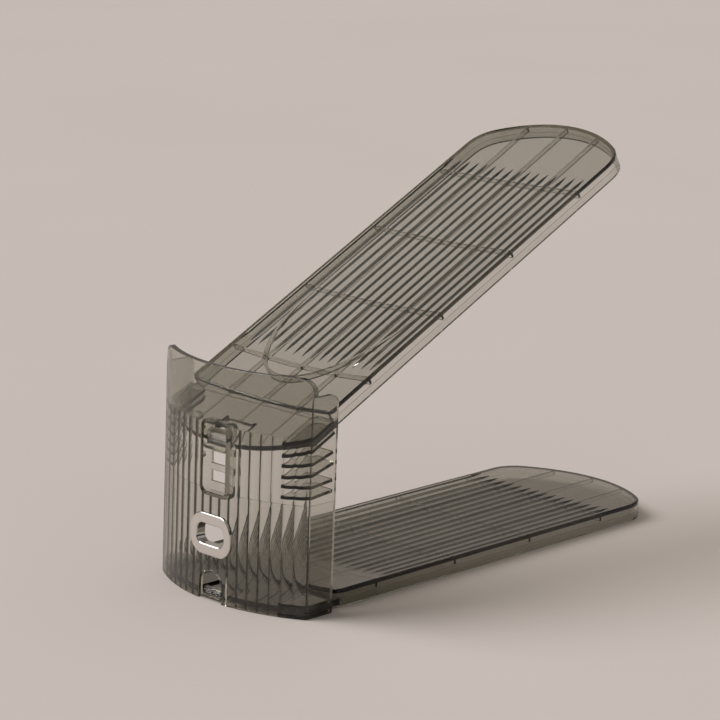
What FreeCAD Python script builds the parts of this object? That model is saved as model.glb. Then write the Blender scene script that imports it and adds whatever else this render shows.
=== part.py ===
import FreeCAD, Part
import math
import os

import Sketcher

# Shoe slot organizer: a low base tray, a leaning front column with three pairs of sloping ledges
# on each side, and an upper tray whose front tongue is held between the top pair.
# Frame: +X runs from the column to the far rounded end, +Z is up, Y = 0 is the plane of symmetry.
# The origin is on the floor, half way along the object.

Vector = FreeCAD.Vector
Rotation = FreeCAD.Rotation
Placement = FreeCAD.Placement
Y_AXIS = Vector(0, 1, 0)
UP = Vector(0, 0, 1)

DRIVING_SIZES = {
    # whole object and column
    "overall_length": 258.0,
    "column_width": 100.0,
    "panel_radius": 97.0,
    "panel_thick": 2.5,
    "panel_height": 108.0,
    "panel_corner": 6.5,
    "side_thick": 2.0,
    "side_depth": 15.2,
    "side_height": 99.5,
    "side_corner": 4.5,
    "column_lean": 2.8,
    "seam_height": 50.9,
    "seam_step": 0.4,
    # reeding of the panel and the tray floors
    "reed_pitch": 5.8,
    "reed_depth": 0.7,
    "reed_count": 17,
    "reed_top": 81.0,
    # pairs of ledges: height of each floor at the column's corner, and its slope
    "top_level": 75.5,
    "top_slope": 26.5,
    "middle_level": 64.9,
    "middle_slope": 16.0,
    "low_level": 55.1,
    "low_slope": 5.7,
    "base_level": 1.3,
    "base_slope": 0.0,
    "ledge_thick": 1.5,
    "base_ledge_thick": 1.25,
    "ledge_reach": 14.0,
    "ledge_front": 36.2,
    "ledge_corner": 3.0,
    "snug_gap": 3.2,
    "loose_gap": 3.3,
    # latch pocket, finger ring and bottom notch in the panel
    "pocket_width": 17.0,
    "pocket_low": 49.5,
    "pocket_high": 81.0,
    "pocket_depth": 5.8,
    "pocket_wall": 1.5,
    "pocket_corner": 2.0,
    "window_width": 15.0,
    "top_window_low": 70.0,
    "top_window_high": 79.9,
    "middle_window_low": 61.7,
    "middle_window_high": 67.3,
    "low_window_low": 53.5,
    "low_window_high": 58.7,
    "ring_height": 30.6,
    "ring_width": 27.4,
    "ring_tall": 19.2,
    "ring_corner": 8.0,
    "ring_hole_width": 18.4,
    "ring_hole_tall": 9.4,
    "ring_hole_corner": 3.6,
    "ring_wall": 1.5,
    "ring_seat": 1.1,
    "ring_proud": 0.4,
    "ring_sleeve": 4.6,
    "notch_width": 16.0,
    "notch_height": 14.3,
    # both trays
    "tray_width": 94.0,
    "tray_height": 8.5,
    "skirt_thick": 2.1,
    "skirt_band": 3.2,
    "skirt_step": 0.35,
    "cradle_drop": 3.2,
    "cradle_end": 0.3,
    "floor_thick": 2.3,
    "near_corner": 3.0,
    "far_radius": 72.0,
    "far_corner": 17.0,
    "edge_round": 0.6,
    "rib_pitch": 50.3,
    "rib_count": 4,
    "rib_thick": 1.3,
    "rib_depth": 2.0,
    "keel_pitch": 23.2,
    "keel_count": 3,
    "flute_count": 16,
    "flute_radius": 1.9,
    "flute_depth": 0.8,
    "flute_taper": 14.0,
    "flute_start": -3.3,
    "flute_overrun": 16.8,
    "tongue_half": 47.2,
    "tongue_thick": 2.7,
    "tongue_rail": 3.0,
    "rail_width": 1.8,
    # what differs between the two trays
    "base_lift": 1.4,
    "base_setback": 21.8,
    "base_first_rib": 23.7,
    "ramp_lift": 0.4,
    "ramp_setback": 18.65,
    "ramp_length": 226.2,
    "ramp_first_rib": 26.3,
    # heel stop on the upper tray
    "heel_near": 13.0,
    "heel_long": 60.0,
    "heel_half": 36.5,
    "heel_thick": 1.5,
    "heel_tall": 3.2,
    "heel_end": 0.1,
    # press catches
    "catch_half": 8.0,
    "catch_slit": 2.6,
    "catch_thick": 1.8,
    "catch_root": 14.0,
    "base_catch_root": 21.0,
    "catch_pad_half": 6.9,
    "catch_pad_low": 0.4,
    "catch_pad_tall": 6.1,
    "base_pad_half": 6.4,
    "base_pad_tall": 4.0,
    "base_pad_low": 0.9,
    "base_pad_recess": 1.0,
    "catch_pad_recess": 2.6,
    "lip_reach": 1.3,
    "lip_thick": 1.2,
    "grip_radius": 0.5,
    # clearances
    "slide_gap": 0.6,
    "rest_gap": 0.1,
    "hinge_gap": 0.2,
}

document = FreeCAD.newDocument("shoe_slot_organizer")
sizes = document.addObject("Spreadsheet::Sheet", "sizes")
for row, (alias, number) in enumerate(DRIVING_SIZES.items(), start=1):
    sizes.set(f"A{row}", alias)
    sizes.set(f"B{row}", str(number))
    sizes.setAlias(f"B{row}", alias)
document.recompute()


def size(alias):
    """Value of one driving dimension, read from the sheet."""
    return float(sizes.get(alias))


def tangent(alias):
    """Tangent of an angle kept in the sheet."""
    return math.tan(math.radians(size(alias)))


# Plan of the column: the panel is an arc whose middle is the frontmost line of the object.
PANEL_FRONT = -size("overall_length") / 2
ARC_CENTRE = PANEL_FRONT + size("panel_radius")
HALF_WIDTH = size("column_width") / 2
CORNER_X = ARC_CENTRE - math.sqrt(size("panel_radius") ** 2 - HALF_WIDTH**2)
LEAN_STEP = tangent("column_lean")


def arc_x(radius, y):
    """X at floor level of the point at y on an arc about the panel's centre line."""
    return ARC_CENTRE - math.sqrt(radius**2 - y**2)


def corner_at(level):
    """X of the column's outer corner at a height, with the lean."""
    return CORNER_X + LEAN_STEP * level


def along_slope(slope_alias, from_corner, above=0.0):
    """Distance from the corner, along a sloping level, of a face that leans with the column.

    from_corner is the face's plan distance behind the outer corner, above the height over the level.
    """
    slope = math.radians(size(slope_alias))
    rise = math.sin(slope) + LEAN_STEP * math.cos(slope)
    return (from_corner + above * rise) / (math.cos(slope) - LEAN_STEP * math.sin(slope))


def level_placement(level_alias, slope_alias, along=0.0, above=0.0):
    """Placement on a sloping level: its X axis runs up the slope from the column's corner."""
    level = size(level_alias)
    turn = Rotation(Y_AXIS, -size(slope_alias))
    start = Vector(corner_at(level), 0, level)
    return Placement(start + turn.multVec(Vector(along, 0, above)), turn)


def new_body(label):
    """One moulded piece."""
    body = document.addObject("PartDesign::Body", label)
    body.Label = label
    return body


def origin_feature(body, role):
    """Origin plane or axis of a body, found by its role."""
    return next(item for item in body.Origin.OriginFeatures if item.Role == role)


def new_sketch(body, name, role="XY_Plane", offset=None, bound=None):
    """Sketch on an origin plane, moved by a placement; bound maps offset fields to expressions."""
    sketch = body.newObject("Sketcher::SketchObject", name)
    sketch.AttachmentSupport = [(origin_feature(body, role), "")]
    sketch.MapMode = "FlatFace"
    sketch.AttachmentOffset = offset or Placement()
    for field, expression in (bound or {}).items():
        sketch.setExpression(f"AttachmentOffset.{field}", expression)
    return sketch


def level_plane(height_expression):
    """Offset fields of a horizontal sketch plane at a height."""
    return {"Base.z": height_expression}


def lean_plane():
    """Offset of an upright sketch plane on the panel's front line, leaning with the column."""
    return Placement(Vector(0, 0, PANEL_FRONT), Rotation(Vector(1, 0, 0), size("column_lean")))


def hold(sketch, item, point, axis, expression):
    """Dimension one point of a sketch from its origin along "X" or "Y"."""
    number = float(sketch.evalExpression(expression))
    kind = f"Distance{axis}"
    if abs(number) < 1e-9:
        sketch.addConstraint(Sketcher.Constraint("PointOnObject", item, point, -2 if axis == "X" else -1))
        return
    ends = (-1, 1, item, point) if number > 0 else (item, point, -1, 1)
    index = sketch.addConstraint(Sketcher.Constraint(kind, *ends, abs(number)))
    sketch.setExpression(f"Constraints[{index}]", expression if number > 0 else f"-({expression})")


def rectangle(sketch, x_low, x_high, y_low, y_high):
    """Dimensioned rectangle; each side is an expression on the sheet."""
    left = float(sketch.evalExpression(x_low))
    right = float(sketch.evalExpression(x_high))
    bottom = float(sketch.evalExpression(y_low))
    top = float(sketch.evalExpression(y_high))
    corners = [Vector(left, bottom, 0), Vector(right, bottom, 0), Vector(right, top, 0), Vector(left, top, 0)]
    first = sketch.GeometryCount
    for index in range(4):
        sketch.addGeometry(Part.LineSegment(corners[index], corners[(index + 1) % 4]))
    for index in range(4):
        following = first + (index + 1) % 4
        sketch.addConstraint(Sketcher.Constraint("Coincident", first + index, 2, following, 1))
        direction = "Horizontal" if index % 2 == 0 else "Vertical"
        sketch.addConstraint(Sketcher.Constraint(direction, first + index))
    hold(sketch, first, 1, "X", x_low)
    hold(sketch, first, 1, "Y", y_low)
    hold(sketch, first + 2, 1, "X", x_high)
    hold(sketch, first + 2, 1, "Y", y_high)


def closed_outline(sketch, points):
    """Closed straight-sided outline through points that the model works out."""
    for index, point in enumerate(points):
        sketch.addGeometry(Part.LineSegment(point, points[(index + 1) % len(points)]))


def circle(sketch, centre, radius):
    """Circle whose radius is an expression on the sheet."""
    start = float(sketch.evalExpression(radius))
    item = sketch.addGeometry(Part.Circle(centre, UP, start))
    index = sketch.addConstraint(Sketcher.Constraint("Radius", item, start))
    sketch.setExpression(f"Constraints[{index}]", radius)


def rounded_rectangle(sketch, width, height, radius, centre_height):
    """Upright rounded rectangle about Y = 0; each size is an expression on the sheet."""
    half = float(sketch.evalExpression(width)) / 2
    rise = float(sketch.evalExpression(height)) / 2
    corner = float(sketch.evalExpression(radius))
    middle = float(sketch.evalExpression(centre_height))
    first = sketch.GeometryCount
    for index, (side, level) in enumerate(((1, 1), (-1, 1), (-1, -1), (1, -1))):
        centre = Vector(side * (half - corner), middle + level * (rise - corner), 0)
        start = index * math.pi / 2
        sketch.addGeometry(Part.ArcOfCircle(Part.Circle(centre, UP, corner), start, start + math.pi / 2))
    for index in range(4):
        arc = sketch.Geometry[first + index]
        following = sketch.Geometry[first + (index + 1) % 4]
        line = sketch.addGeometry(Part.LineSegment(arc.EndPoint, following.StartPoint))
        sketch.addConstraint(Sketcher.Constraint("Tangent", first + index, 2, line, 1))
        sketch.addConstraint(Sketcher.Constraint("Tangent", line, 2, first + (index + 1) % 4, 1))
    for index in range(4):
        radius_index = sketch.addConstraint(Sketcher.Constraint("Radius", first + index, corner))
        sketch.setExpression(f"Constraints[{radius_index}]", radius)
    hold(sketch, first, 1, "X", f"{width} / 2")
    hold(sketch, first + 1, 2, "X", f"-{width} / 2")
    hold(sketch, first, 2, "Y", f"{centre_height} + {height} / 2")
    hold(sketch, first + 3, 1, "Y", f"{centre_height} - {height} / 2")


def tray_outline(sketch, length, inset):
    """Plan of a tray: straight near end, parallel sides, arched far end, all corners rounded."""
    drawn_in = float(sketch.evalExpression(inset))
    far = float(sketch.evalExpression(length)) - drawn_in
    half = size("tray_width") / 2 - drawn_in
    near_round = size("near_corner") - drawn_in
    far_round = size("far_corner") - drawn_in
    end_radius = size("far_radius") - drawn_in
    end_centre = far - end_radius
    side_end = end_centre + math.sqrt((end_radius - far_round) ** 2 - (half - far_round) ** 2)
    swing = math.atan2(half - far_round, side_end - end_centre)
    quarter = math.pi / 2

    def arc(x, y, radius, start, end):
        sketch.addGeometry(Part.ArcOfCircle(Part.Circle(Vector(x, y, 0), UP, radius), start, end))

    def line(x_start, y_start, x_end, y_end):
        sketch.addGeometry(Part.LineSegment(Vector(x_start, y_start, 0), Vector(x_end, y_end, 0)))

    near = drawn_in
    line(near, half - near_round, near, near_round - half)
    arc(near + near_round, near_round - half, near_round, math.pi, 3 * quarter)
    line(near + near_round, -half, side_end, -half)
    arc(side_end, far_round - half, far_round, -quarter, -swing)
    arc(end_centre, 0, end_radius, -swing, swing)
    arc(side_end, half - far_round, far_round, swing, quarter)
    line(side_end, half, near + near_round, half)
    arc(near + near_round, half - near_round, near_round, quarter, math.pi)
    for index in range(8):
        sketch.addConstraint(Sketcher.Constraint("Tangent", index, 2, (index + 1) % 8, 1))
    sketch.addConstraint(Sketcher.Constraint("Vertical", 0))
    sketch.addConstraint(Sketcher.Constraint("Horizontal", 2))
    sketch.addConstraint(Sketcher.Constraint("Horizontal", 6))
    round_items = {1: "near_corner", 3: "far_corner", 4: "far_radius", 5: "far_corner", 7: "near_corner"}
    for item, alias in round_items.items():
        index = sketch.addConstraint(Sketcher.Constraint("Radius", item, size(alias) - drawn_in))
        sketch.setExpression(f"Constraints[{index}]", f"sizes.{alias} - {inset}")
    hold(sketch, 0, 1, "X", inset)
    hold(sketch, 2, 1, "Y", f"{inset} - sizes.tray_width / 2")
    hold(sketch, 6, 1, "Y", f"sizes.tray_width / 2 - {inset}")
    hold(sketch, 4, 3, "X", f"{length} - sizes.far_radius")
    sketch.addConstraint(Sketcher.Constraint("PointOnObject", 4, 3, -1))


def pad(body, sketch, name, length, backward=False, both_ways=False):
    """Raise a sketch by a length given as an expression."""
    feature = body.newObject("PartDesign::Pad", name)
    feature.Profile = sketch
    feature.setExpression("Length", length)
    feature.Reversed = backward
    feature.Midplane = both_ways
    return feature


def pocket(body, sketch, name, length, backward=False, both_ways=False, leaning=False):
    """Cut a sketch to a depth given as an expression; the cut must take material away."""
    document.recompute()
    volume_before = body.Shape.Volume
    feature = body.newObject("PartDesign::Pocket", name)
    feature.Profile = sketch
    feature.setExpression("Length", length)
    feature.Reversed = backward
    feature.Midplane = both_ways
    if leaning:
        lean_with_column(feature)
    document.recompute()
    if body.Shape.Volume >= volume_before:
        raise RuntimeError(f"{name} cuts nothing")
    return feature


def lean_with_column(feature):
    """Extrude a floor-level profile along the column's lean."""
    feature.UseCustomVector = True
    feature.Direction = Vector(LEAN_STEP, 0, 1)
    feature.AlongSketchNormal = True


def corner_trim(sketch, corner_x, corner_y, radius, side):
    """Outline of what a rounded upper corner takes away; side is +1 or -1 along the sketch's X."""
    margin = 1.0
    centre = Vector(corner_x - side * radius, corner_y - radius, 0)
    start = 0.0 if side > 0 else math.pi / 2
    low = Vector(corner_x, corner_y - radius, 0)
    high = Vector(corner_x - side * radius, corner_y, 0)
    sketch.addGeometry(Part.ArcOfCircle(Part.Circle(centre, UP, radius), start, start + math.pi / 2))
    around = [
        high,
        Vector(high.x, corner_y + margin, 0),
        Vector(corner_x + side * margin, corner_y + margin, 0),
        Vector(corner_x + side * margin, low.y, 0),
        low,
    ]
    for begin, finish in zip(around, around[1:]):
        sketch.addGeometry(Part.LineSegment(begin, finish))


# Column


def panel_section(sketch, inner_radius):
    """Plan of the curved panel between its outer and an inner radius."""
    faces = []
    for radius in (size("panel_radius"), inner_radius):
        swing = math.asin(HALF_WIDTH / radius)
        outline = Part.Circle(Vector(ARC_CENTRE, 0, 0), UP, radius)
        face = Part.ArcOfCircle(outline, math.pi - swing, math.pi + swing)
        sketch.addGeometry(face)
        faces.append(face)
    front, back = faces
    sketch.addGeometry(Part.LineSegment(front.StartPoint, back.StartPoint))
    sketch.addGeometry(Part.LineSegment(front.EndPoint, back.EndPoint))


def ledge_pair(body, name, level, slope, gap, thick="ledge_thick"):
    """The two ledges of one level at both corners, a gap apart, sloping up to the rear."""
    embed_radius = size("panel_radius") - size("panel_thick") / 2
    wall_middle = HALF_WIDTH - size("side_thick") / 2
    front_y = size("ledge_front")
    middle_y = (front_y + wall_middle) / 2
    reach = size("ledge_reach")
    corner = size("ledge_corner")
    bulge = corner * (1 - math.sqrt(0.5))

    for part_name, rise, backward in (("lower", 0.0, True), ("upper", size(gap), False)):

        def plan(from_corner, y):
            return Vector(along_slope(slope, from_corner, rise), y, 0)

        def on_panel(y):
            return plan(arc_x(embed_radius, y) - CORNER_X, y)

        lifted = level_placement(level, slope, above=rise)
        sketch = new_sketch(body, f"{name}_{part_name}_plan", offset=lifted)
        for side in (1, -1):
            tip = on_panel(side * front_y)
            at_wall = on_panel(side * wall_middle)
            rear = plan(reach, side * wall_middle)
            round_start = plan(reach, side * (front_y + corner))
            round_middle = plan(reach - bulge, side * (front_y + bulge))
            round_end = plan(reach - corner, side * front_y)
            sketch.addGeometry(Part.Arc(tip, on_panel(side * middle_y), at_wall))
            sketch.addGeometry(Part.LineSegment(at_wall, rear))
            sketch.addGeometry(Part.LineSegment(rear, round_start))
            sketch.addGeometry(Part.Arc(round_start, round_middle, round_end))
            sketch.addGeometry(Part.LineSegment(round_end, tip))
        pad(body, sketch, f"{name}_{part_name}", f"sizes.{thick}", backward=backward)


def cut_reeds(body, name, inner_radius, low, high):
    """Hollow reeds side by side on the panel's inner face between two heights, meeting in sharp lines."""
    sketch = new_sketch(body, f"{name}_plan", offset=Placement(Vector(LEAN_STEP * low, 0, low), Rotation()))
    depth = size("reed_depth")
    turn = size("reed_pitch") / inner_radius
    last = int(size("reed_count")) // 2

    def on_ring(radius, step):
        return Vector(ARC_CENTRE - radius * math.cos(step * turn), radius * math.sin(step * turn), 0)

    for index in range(-last, last + 1):
        start = on_ring(inner_radius, index - 0.5)
        finish = on_ring(inner_radius, index + 0.5)
        sketch.addGeometry(Part.Arc(start, on_ring(inner_radius + depth, index), finish))
    open_radius = inner_radius - depth
    ends = on_ring(open_radius, -last - 0.5), on_ring(open_radius, last + 0.5)
    sketch.addGeometry(Part.Arc(ends[0], on_ring(open_radius, 0), ends[1]))
    sketch.addGeometry(Part.LineSegment(ends[0], on_ring(inner_radius, -last - 0.5)))
    sketch.addGeometry(Part.LineSegment(ends[1], on_ring(inner_radius, last + 0.5)))
    pocket(body, sketch, name, f"{high - low}", leaning=True)


def build_column():
    """Leaning front column with its ledges, latch pocket, ring hole and bottom notch."""
    body = new_body("column")
    inner_radius = size("panel_radius") - size("panel_thick")

    sketch = new_sketch(body, "panel_plan")
    panel_section(sketch, inner_radius)
    panel = pad(body, sketch, "panel", "sizes.panel_height")
    lean_with_column(panel)
    sketch = new_sketch(body, "panel_corner_view", "YZ_Plane")
    for side in (1, -1):
        corner_trim(sketch, side * HALF_WIDTH, size("panel_height"), size("panel_corner"), side)
    pocket(body, sketch, "panel_top_corners", "2 * sizes.overall_length", both_ways=True)

    sketch = new_sketch(body, "side_plan")
    wall_front = f"{CORNER_X + size('panel_thick') / 2}"
    wall_rear = f"{CORNER_X} + sizes.side_depth"
    wall_outside = "sizes.column_width / 2"
    wall_inside = f"{wall_outside} - sizes.side_thick"
    rectangle(sketch, wall_front, wall_rear, wall_inside, wall_outside)
    rectangle(sketch, wall_front, wall_rear, f"-({wall_outside})", f"-({wall_inside})")
    sides = pad(body, sketch, "sides", "sizes.side_height")
    lean_with_column(sides)
    rear_x = CORNER_X + size("side_depth") + LEAN_STEP * size("side_height")
    sketch = new_sketch(body, "side_corner_view", "XZ_Plane")
    corner_trim(sketch, rear_x, size("side_height"), size("side_corner"), 1)
    pocket(body, sketch, "side_top_corners", "2 * sizes.column_width", both_ways=True)

    sketch = new_sketch(body, "lower_lining_plan")
    panel_lining = inner_radius - size("seam_step")
    panel_section(sketch, panel_lining)
    lining = pad(body, sketch, "lower_lining", "sizes.seam_height")
    lean_with_column(lining)
    sketch = new_sketch(body, "side_lining_plan")
    lining_inside = f"{wall_inside} - sizes.seam_step"
    rectangle(sketch, wall_front, wall_rear, lining_inside, wall_outside)
    rectangle(sketch, wall_front, wall_rear, f"-({wall_outside})", f"-({lining_inside})")
    side_lining = pad(body, sketch, "side_lining", "sizes.seam_height")
    lean_with_column(side_lining)

    cut_reeds(body, "lower_reeds", panel_lining, 0.0, size("seam_height"))
    cut_reeds(body, "upper_reeds", inner_radius, size("seam_height"), size("reed_top"))

    ledge_pair(body, "top_ledge", "top_level", "top_slope", "snug_gap")
    ledge_pair(body, "middle_ledge", "middle_level", "middle_slope", "loose_gap")
    ledge_pair(body, "low_ledge", "low_level", "low_slope", "loose_gap")
    ledge_pair(body, "base_ledge", "base_level", "base_slope", "snug_gap", "base_ledge_thick")

    cut_latch_pocket(body)
    cut_ring_seat(body)

    sketch = new_sketch(body, "notch_view", "YZ_Plane", lean_plane())
    half = size("notch_width") / 2
    spring = size("notch_height") - half
    below = -size("panel_thick")
    sketch.addGeometry(Part.ArcOfCircle(Part.Circle(Vector(0, spring, 0), UP, half), 0, math.pi))
    straight = [
        Vector(-half, spring, 0),
        Vector(-half, below, 0),
        Vector(half, below, 0),
        Vector(half, spring, 0),
    ]
    for begin, finish in zip(straight, straight[1:]):
        sketch.addGeometry(Part.LineSegment(begin, finish))
    pocket(body, sketch, "bottom_notch", "sizes.notch_width", both_ways=True)
    return body


def cut_latch_pocket(body):
    """Box sunk into the panel, its back plate pierced by one window for each level."""
    middle = "(sizes.pocket_low + sizes.pocket_high) / 2"
    tall = "(sizes.pocket_high - sizes.pocket_low)"

    sketch = new_sketch(body, "pocket_box_view", "YZ_Plane", lean_plane())
    sketch.setExpression("AttachmentOffset.Base.z", "sizes.panel_thick / 2 - sizes.overall_length / 2")
    rounded_rectangle(
        sketch,
        "(sizes.pocket_width + 2 * sizes.pocket_wall)",
        f"({tall} + 2 * sizes.pocket_wall)",
        "sizes.pocket_corner + sizes.pocket_wall",
        middle,
    )
    pad(body, sketch, "pocket_box", "sizes.pocket_depth + sizes.pocket_wall - sizes.panel_thick / 2")

    sketch = new_sketch(body, "pocket_hollow_view", "YZ_Plane", lean_plane())
    sketch.setExpression("AttachmentOffset.Base.z", "sizes.pocket_depth - sizes.overall_length / 2")
    rounded_rectangle(sketch, "sizes.pocket_width", tall, "sizes.pocket_corner", middle)
    pocket(body, sketch, "pocket_hollow", "2 * sizes.pocket_depth")

    sketch = new_sketch(body, "window_view", "YZ_Plane", lean_plane())
    for level in ("top", "middle", "low"):
        low_edge = f"sizes.{level}_window_low"
        high_edge = f"sizes.{level}_window_high"
        rectangle(sketch, "-sizes.window_width / 2", "sizes.window_width / 2", low_edge, high_edge)
    pocket(body, sketch, "windows", "2 * sizes.pocket_depth", backward=True)


def cut_ring_seat(body):
    """Hole for the finger ring's sleeve and the flat seat of its face."""
    clearance = "2 * sizes.rest_gap"
    sketch = new_sketch(body, "ring_hole_view", "YZ_Plane", lean_plane())
    rounded_rectangle(
        sketch,
        f"(sizes.ring_hole_width + 2 * sizes.ring_wall + {clearance})",
        f"(sizes.ring_hole_tall + 2 * sizes.ring_wall + {clearance})",
        "sizes.ring_hole_corner + sizes.ring_wall",
        "sizes.ring_height",
    )
    pocket(body, sketch, "ring_hole", "4 * sizes.panel_thick", both_ways=True)

    sketch = new_sketch(body, "ring_seat_view", "YZ_Plane", lean_plane())
    sketch.setExpression("AttachmentOffset.Base.z", "sizes.ring_seat - sizes.overall_length / 2")
    rounded_rectangle(
        sketch,
        f"(sizes.ring_width + {clearance})",
        f"(sizes.ring_tall + {clearance})",
        "sizes.ring_corner",
        "sizes.ring_height",
    )
    pocket(body, sketch, "ring_seat_cut", "2 * sizes.panel_thick")


# Trays


def tray_x(tray, from_corner, above):
    """Local X on a tray of a face that leans with the column."""
    over_level = above - size(tray["lift"]) + size("rest_gap")
    return along_slope(tray["slope"], from_corner, over_level) - size(tray["setback"])


def place_on_level(body, tray):
    """Set a tray or its catch on its level, with the tongue's rails just above the lower ledge."""
    lift = size("rest_gap") - size(tray["lift"])
    body.Placement = level_placement(tray["level"], tray["slope"], size(tray["setback"]), lift)


def tongue_front(tray):
    """Middle and side X of the tongue's front edge, clear of the panel's inner face."""
    inner = size("panel_radius") - size("panel_thick") - size("seam_step") - size("slide_gap")
    top = size(tray["lift"]) + size("tongue_rail")
    middle_x = tray_x(tray, arc_x(inner, 0) - CORNER_X, top)
    side_x = tray_x(tray, arc_x(inner, size("tongue_half")) - CORNER_X, top)
    return middle_x, side_x


def build_tongue(body, tray):
    """Low tongue that enters the column, with rails along its sides and keels between them."""
    middle_x, side_x = tongue_front(tray)
    half = size("tongue_half")
    rear = size("skirt_thick")
    underside = level_plane(f"sizes.{tray['lift']}")
    sagitta = side_x - middle_x
    front_radius = (half**2 + sagitta**2) / (2 * sagitta)
    front_centre = middle_x + front_radius

    sketch = new_sketch(body, f"{body.Label}_tongue_plan", bound=underside)
    ends = Vector(side_x, half, 0), Vector(middle_x, 0, 0), Vector(side_x, -half, 0)
    sketch.addGeometry(Part.Arc(*ends))
    outline = [ends[2], Vector(rear, -half, 0), Vector(rear, half, 0), ends[0]]
    for begin, finish in zip(outline, outline[1:]):
        sketch.addGeometry(Part.LineSegment(begin, finish))
    pad(body, sketch, f"{body.Label}_tongue", "sizes.tongue_thick")

    sketch = new_sketch(body, f"{body.Label}_rail_plan", bound=underside)
    rail_front = f"{side_x + size('rail_width')}"
    rail_inside = "sizes.tongue_half - sizes.rail_width"
    rectangle(sketch, rail_front, "sizes.skirt_thick", rail_inside, "sizes.tongue_half")
    rectangle(sketch, rail_front, "sizes.skirt_thick", "-sizes.tongue_half", f"-({rail_inside})")
    half_rib = "sizes.rib_thick / 2"
    rectangle(sketch, f"-sizes.{tray['root']}", "sizes.skirt_thick", f"-{half_rib}", half_rib)
    keel_edge = size("keel_pitch") + size("rib_thick") / 2
    keel_front = front_centre - math.sqrt(front_radius**2 - keel_edge**2) + size("rail_width")
    for side in ("", "-"):
        keel_y = f"{side}sizes.keel_pitch"
        low_y = f"{keel_y} - {half_rib}"
        rectangle(sketch, f"{keel_front}", "sizes.skirt_thick", low_y, f"{keel_y} + {half_rib}")
    pad(body, sketch, f"{body.Label}_rails", "sizes.tongue_rail")

    sketch = new_sketch(body, f"{body.Label}_catch_gap_plan")
    reach = "sizes.catch_half + sizes.catch_slit"
    front = f"{2 * middle_x}"
    rectangle(sketch, front, f"-sizes.{tray['root']}", f"-({reach})", reach)
    pocket(body, sketch, f"{body.Label}_catch_gap", "4 * sizes.tray_height", both_ways=True)
    sketch = new_sketch(body, f"{body.Label}_slit_end_plan")
    slit_middle = size("catch_half") + size("catch_slit") / 2
    for side in (1, -1):
        slit_end = Vector(-size(tray["root"]), side * slit_middle, 0)
        circle(sketch, slit_end, "sizes.catch_slit / 2")
    pocket(body, sketch, f"{body.Label}_slit_ends", "4 * sizes.tray_height", both_ways=True)


def floor_level(tray, x, y=0.0):
    """Height of a tray's floor: a cradle, lowest along the middle and shallower towards the far end."""
    along = x / tray["length"]
    drop = size("cradle_drop") + along * (size("cradle_end") - size("cradle_drop"))
    return size("tray_height") - drop * (1 - (2 * y / size("tray_width")) ** 2)


def across(x):
    """Offset of an upright sketch plane that crosses a tray."""
    return Placement(Vector(0, 0, x), Rotation())


def cradle_arc(sketch, tray, x, half, below):
    """Arc across a tray that follows its floor a distance below it; returns the two ends."""
    side = floor_level(tray, x, half) - below
    ends = Vector(-half, side, 0), Vector(half, side, 0)
    sketch.addGeometry(Part.Arc(ends[0], Vector(0, floor_level(tray, x) - below, 0), ends[1]))
    return ends


def cut_cradle(body, tray, below):
    """Take away all that lies above a tray's floor, or above a surface a distance below it."""
    margin = 1.0
    half = size("tray_width") / 2 + margin
    over = 2 * size("tray_height") + margin
    sections = []
    for place, x in (("front", -margin), ("far", tray["length"] + margin)):
        sketch = new_sketch(body, f"{body.Label}_cradle_{place}", "YZ_Plane", across(x))
        left, right = cradle_arc(sketch, tray, x, half, below)
        outline = [right, Vector(half, over, 0), Vector(-half, over, 0), left]
        for begin, finish in zip(outline, outline[1:]):
            sketch.addGeometry(Part.LineSegment(begin, finish))
        sections.append(sketch)
    document.recompute()
    volume_before = body.Shape.Volume
    cradle = body.newObject("PartDesign::SubtractiveLoft", f"{body.Label}_cradle")
    cradle.Profile = sections[0]
    cradle.Sections = [sections[1]]
    cradle.Ruled = True
    document.recompute()
    if body.Shape.Volume >= volume_before:
        raise RuntimeError(f"the cradle of {body.Label} cuts nothing")
    return cradle


def build_core(tray):
    """The hollow under a tray's floor, as a solid: inside the stepped skirt, up to the floor's underside."""
    body = new_body(f"{tray['label']}_core")
    length = f"{tray['length']}"
    sketch = new_sketch(body, f"{body.Label}_plan")
    tray_outline(sketch, length, "sizes.skirt_thick")
    pad(body, sketch, f"{body.Label}_block", "sizes.tray_height")
    sketch = new_sketch(body, f"{body.Label}_step_plan", bound=level_plane("sizes.skirt_band"))
    tray_outline(sketch, length, "(sizes.skirt_thick - sizes.skirt_step)")
    pad(body, sketch, f"{body.Label}_step", "sizes.tray_height - sizes.skirt_band")
    cut_cradle(body, tray, size("floor_thick"))
    return body


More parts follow.
